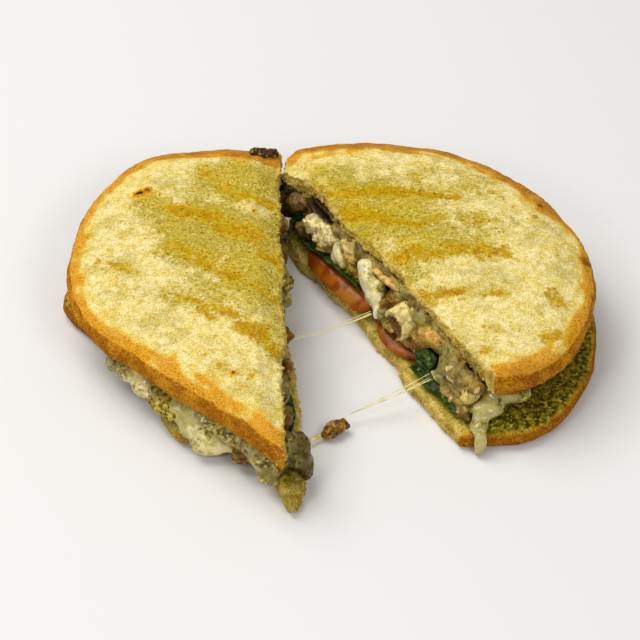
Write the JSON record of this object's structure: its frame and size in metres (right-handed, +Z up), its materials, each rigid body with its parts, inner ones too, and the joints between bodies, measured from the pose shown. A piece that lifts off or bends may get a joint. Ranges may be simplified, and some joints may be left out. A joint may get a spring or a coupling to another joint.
{
  "type": "panini",
  "caption": "Toasted panini cut in half, the halves opened in a V and joined by strings of cheese, with chicken, spinach, tomato, mushroom and pesto.",
  "frame": {"origin": "middle of the footprint, on the surface that the bottom slices lie on", "axes": "+X along the width of the two halves, +Y towards the closed end of the V, +Z up through the slices"},
  "size_m": [0.207, 0.1778, 0.0363],
  "materials": {
    "bread": "toasted crust and crumb",
    "tomato": "wet, cooked",
    "spinach": "wilted leaf",
    "chicken": "shredded, moist",
    "mushroom": "cooked, moist",
    "cheese": "melted",
    "pesto": "oily, coarse",
    "burnt_cheese": "charred"
  },
  "bodies": {
    "root": {"right_bottom_slice": "bread", "right_top_slice": "bread", "right_tomato_1": "tomato", "right_tomato_2": "tomato", "right_spinach_1": "spinach", "right_spinach_2": "spinach", "right_spinach_3": "spinach", "right_spinach_4": "spinach", "right_mushroom_1": "mushroom", "right_mushroom_2": "mushroom", "right_mushroom_3": "mushroom", "right_chicken": "chicken", "right_cheese": "cheese", "left_bottom_slice": "bread", "left_top_slice": "bread", "left_tomato_1": "tomato", "left_tomato_2": "tomato", "left_spinach_1": "spinach", "left_spinach_2": "spinach", "left_mushroom_1": "mushroom", "left_chicken": "chicken", "left_cheese": "cheese", "left_pesto": "pesto", "left_pesto_tuft": "pesto", "left_burnt_crisp": "burnt_cheese", "cheese_string_1": "cheese", "cheese_string_2": "cheese", "cheese_string_3": "cheese", "cheese_clump": "pesto"}
  },
  "joints": []
}
